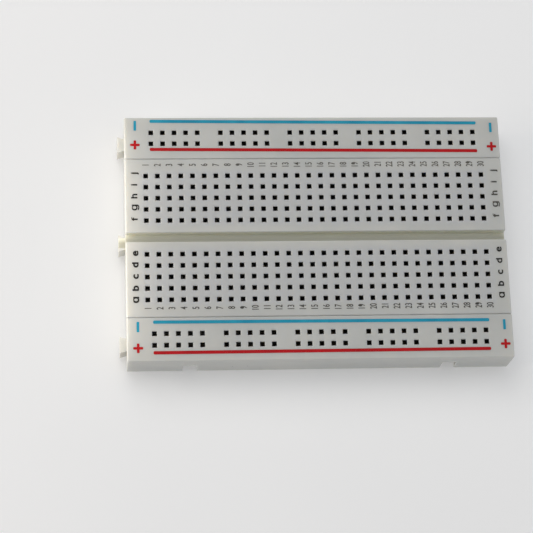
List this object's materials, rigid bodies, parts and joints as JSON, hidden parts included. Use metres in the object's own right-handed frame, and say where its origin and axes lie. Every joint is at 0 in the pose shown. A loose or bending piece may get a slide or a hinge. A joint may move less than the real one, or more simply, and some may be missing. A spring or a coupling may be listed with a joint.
{
  "type": "solderless breadboard",
  "caption": "Half-size solderless breadboard: a terminal strip with a centre channel between bus strips, with sprung metal clips under a grid of square wire holes.",
  "frame": {"origin": "centre of the underside, which lies on the bench", "axes": "+X from column 1 to column 30, +Y from row a to row j, +Z out of the wire holes"},
  "size_m": [0.0843, 0.0565, 0.0094],
  "materials": {
    "housing_plastic": "fine satin moulded plastic, off-white",
    "spring_metal": "nickel-plated phosphor bronze sheet",
    "backing_foam": "closed-cell white adhesive foam",
    "liner_paper": "waxed release paper"
  },
  "bodies": {
    "lower_bus_strip": {"lower_bus_strip_housing": "housing_plastic", "lower_negative_bus_clip": "spring_metal", "lower_positive_bus_clip": "spring_metal", "lower_bus_strip_foam_pad": "backing_foam"},
    "terminal_strip": {"terminal_strip_housing": "housing_plastic", "column_01_clips": "spring_metal", "column_02_clips": "spring_metal", "column_03_clips": "spring_metal", "column_04_clips": "spring_metal", "column_05_clips": "spring_metal", "column_06_clips": "spring_metal", "column_07_clips": "spring_metal", "column_08_clips": "spring_metal", "column_09_clips": "spring_metal", "column_10_clips": "spring_metal", "column_11_clips": "spring_metal", "column_12_clips": "spring_metal", "column_13_clips": "spring_metal", "column_14_clips": "spring_metal", "column_15_clips": "spring_metal", "column_16_clips": "spring_metal", "column_17_clips": "spring_metal", "column_18_clips": "spring_metal", "column_19_clips": "spring_metal", "column_20_clips": "spring_metal", "column_21_clips": "spring_metal", "column_22_clips": "spring_metal", "column_23_clips": "spring_metal", "column_24_clips": "spring_metal", "column_25_clips": "spring_metal", "column_26_clips": "spring_metal", "column_27_clips": "spring_metal", "column_28_clips": "spring_metal", "column_29_clips": "spring_metal", "column_30_clips": "spring_metal", "terminal_strip_foam_pad": "backing_foam"},
    "upper_bus_strip": {"upper_bus_strip_housing": "housing_plastic", "upper_negative_bus_clip": "spring_metal", "upper_positive_bus_clip": "spring_metal", "upper_bus_strip_foam_pad": "backing_foam"},
    "lower_liner": {"lower_bus_strip_release_liner": "liner_paper"},
    "terminal_liner": {"terminal_strip_release_liner": "liner_paper"},
    "upper_liner": {"upper_bus_strip_release_liner": "liner_paper"}
  },
  "joints": [
    {"name": "terminal_strip_lift_off", "type": "slide", "parent": "lower_bus_strip", "child": "terminal_strip", "axis": [0, 0, 1], "range_m": [0, 0.012]},
    {"name": "upper_bus_strip_lift_off", "type": "slide", "parent": "terminal_strip", "child": "upper_bus_strip", "axis": [0, 0, 1], "range_m": [0, 0.012]},
    {"name": "lower_liner_peel", "type": "slide", "parent": "lower_bus_strip", "child": "lower_liner", "axis": [-1, 0, 0], "range_m": [0, 0.084]},
    {"name": "terminal_liner_peel", "type": "slide", "parent": "terminal_strip", "child": "terminal_liner", "axis": [-1, 0, 0], "range_m": [0, 0.084]},
    {"name": "upper_liner_peel", "type": "slide", "parent": "upper_bus_strip", "child": "upper_liner", "axis": [-1, 0, 0], "range_m": [0, 0.084]}
  ]
}
